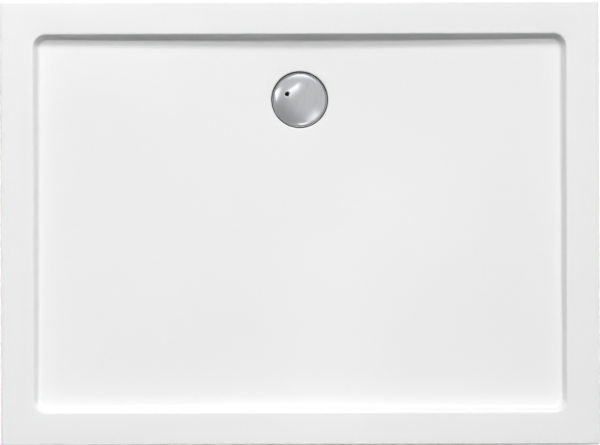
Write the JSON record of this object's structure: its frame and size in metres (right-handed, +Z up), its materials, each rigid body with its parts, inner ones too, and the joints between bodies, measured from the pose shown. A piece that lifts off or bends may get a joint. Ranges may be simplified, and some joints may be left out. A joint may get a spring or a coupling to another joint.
{
  "type": "shower tray",
  "caption": "Rectangular white acrylic shower tray on five screw feet, with a round chromed waste cover, a lift-out strainer and dip tube, and a bottle trap.",
  "frame": {"origin": "centre of the tray's outline, at the floor under its feet", "axes": "+X along the long side, +Y towards the side with the waste, which is the top of the picture, +Z up"},
  "size_m": [1.2, 0.89, 0.15],
  "materials": {
    "acrylic": "gloss white sanitary acrylic",
    "resin": "glass-filled resin, uneven and translucent",
    "board": "raw chipboard under a thin resin wash",
    "zinc_steel": "zinc-plated steel",
    "foot_plastic": "moulded dark plastic",
    "waste_white": "moulded white plastic",
    "trap_white": "moulded white plastic",
    "trap_grey": "moulded grey plastic",
    "strainer_plastic": "moulded dark grey plastic",
    "rubber": "black rubber",
    "chrome": "polished chrome plate"
  },
  "bodies": {
    "tray": {"tray_shell": "acrylic", "resin_backing": "resin", "support_board": "board", "leg_brackets": "zinc_steel", "lock_nuts": "zinc_steel", "waste_flange": "waste_white", "body_gasket": "rubber", "trap_body": "trap_white", "outlet_pipe": "trap_white", "union_nut": "trap_white"},
    "dip_tube": {"dip_tube": "trap_grey"},
    "strainer": {"strainer": "strainer_plastic"},
    "waste_cover": {"waste_cover": "chrome"},
    "foot_front_left": {"foot_pad_front_left": "foot_plastic"},
    "rod_front_left": {"foot_rod_front_left": "zinc_steel"},
    "foot_front_right": {"foot_pad_front_right": "foot_plastic"},
    "rod_front_right": {"foot_rod_front_right": "zinc_steel"},
    "foot_back_left": {"foot_pad_back_left": "foot_plastic"},
    "rod_back_left": {"foot_rod_back_left": "zinc_steel"},
    "foot_back_right": {"foot_pad_back_right": "foot_plastic"},
    "rod_back_right": {"foot_rod_back_right": "zinc_steel"},
    "foot_middle": {"foot_pad_middle": "foot_plastic"},
    "rod_middle": {"foot_rod_middle": "zinc_steel"}
  },
  "joints": [
    {"name": "dip_tube_lift", "type": "slide", "parent": "tray", "child": "dip_tube", "axis": [0, 0, 1], "range_m": [0, 0.12]},
    {"name": "strainer_lift", "type": "slide", "parent": "dip_tube", "child": "strainer", "axis": [0, 0, 1], "range_m": [0, 0.04]},
    {"name": "cover_lift", "type": "slide", "parent": "strainer", "child": "waste_cover", "axis": [0, 0, 1], "range_m": [0, 0.06]},
    {"name": "foot_front_left_height", "type": "slide", "parent": "tray", "child": "foot_front_left", "axis": [0, 0, 1], "range_m": [-0.018, 0.006]},
    {"name": "rod_front_left_turn", "type": "hinge", "parent": "foot_front_left", "child": "rod_front_left", "pos_m": [-0.438, -0.283, 0.03], "axis": [0, 0, 1], "range_deg": [-3703, 1234.5]},
    {"name": "foot_front_right_height", "type": "slide", "parent": "tray", "child": "foot_front_right", "axis": [0, 0, 1], "range_m": [-0.018, 0.006]},
    {"name": "rod_front_right_turn", "type": "hinge", "parent": "foot_front_right", "child": "rod_front_right", "pos_m": [0.438, -0.283, 0.03], "axis": [0, 0, 1], "range_deg": [-3703, 1234.5]},
    {"name": "foot_back_left_height", "type": "slide", "parent": "tray", "child": "foot_back_left", "axis": [0, 0, 1], "range_m": [-0.018, 0.006]},
    {"name": "rod_back_left_turn", "type": "hinge", "parent": "foot_back_left", "child": "rod_back_left", "pos_m": [-0.438, 0.283, 0.03], "axis": [0, 0, 1], "range_deg": [-3703, 1234.5]},
    {"name": "foot_back_right_height", "type": "slide", "parent": "tray", "child": "foot_back_right", "axis": [0, 0, 1], "range_m": [-0.018, 0.006]},
    {"name": "rod_back_right_turn", "type": "hinge", "parent": "foot_back_right", "child": "rod_back_right", "pos_m": [0.438, 0.283, 0.03], "axis": [0, 0, 1], "range_deg": [-3703, 1234.5]},
    {"name": "foot_middle_height", "type": "slide", "parent": "tray", "child": "foot_middle", "axis": [0, 0, 1], "range_m": [-0.018, 0.006]},
    {"name": "rod_middle_turn", "type": "hinge", "parent": "foot_middle", "child": "rod_middle", "pos_m": [0, -0.06, 0.03], "axis": [0, 0, 1], "range_deg": [-3703, 1234.5]}
  ],
  "couplings": [
    {"joint": "rod_front_left_turn", "follows": "foot_front_left_height", "rad_per_m": 3590.4},
    {"joint": "rod_front_right_turn", "follows": "foot_front_right_height", "rad_per_m": 3590.4},
    {"joint": "rod_back_left_turn", "follows": "foot_back_left_height", "rad_per_m": 3590.4},
    {"joint": "rod_back_right_turn", "follows": "foot_back_right_height", "rad_per_m": 3590.4},
    {"joint": "rod_middle_turn", "follows": "foot_middle_height", "rad_per_m": 3590.4}
  ]
}
